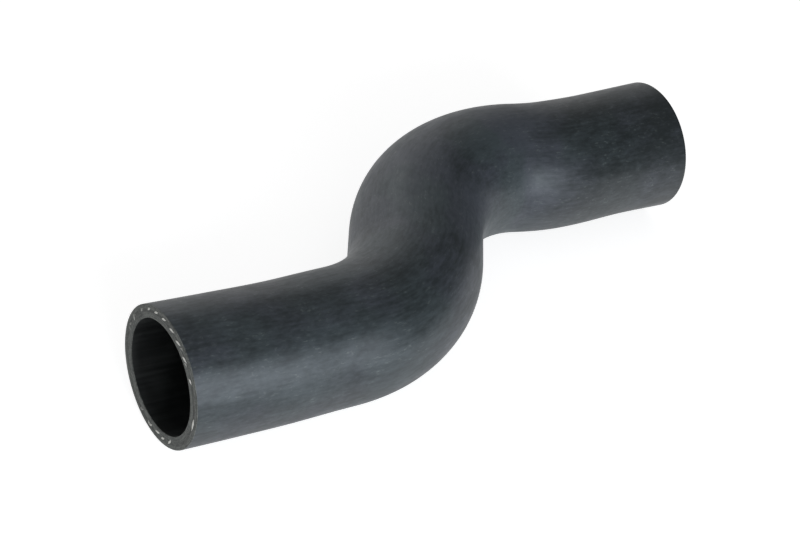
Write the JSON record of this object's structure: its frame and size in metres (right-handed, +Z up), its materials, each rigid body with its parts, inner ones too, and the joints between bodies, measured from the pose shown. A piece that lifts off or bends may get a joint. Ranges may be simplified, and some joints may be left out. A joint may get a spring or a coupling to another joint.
{
  "type": "charge air hose",
  "caption": "Formed rubber hose with two opposite bends that carries boost air between two pipes lying side by side; plain knife-cut ends.",
  "frame": {"origin": "middle of the hose's footprint, on the surface that it lies on", "axes": "+X along both legs, from the near end to the far end; +Y the way that the hose steps aside; +Z up, square to the flat plane of its bends"},
  "size_m": [0.3114, 0.141, 0.061],
  "materials": {
    "rubber": "satin black rubber with a grey bloom, and a matt grey-black cut face",
    "reinforcing_yarn": "off-white yarn ends, cut flush in the middle of the wall"
  },
  "bodies": {
    "root": {"hose": "rubber"}
  },
  "joints": []
}
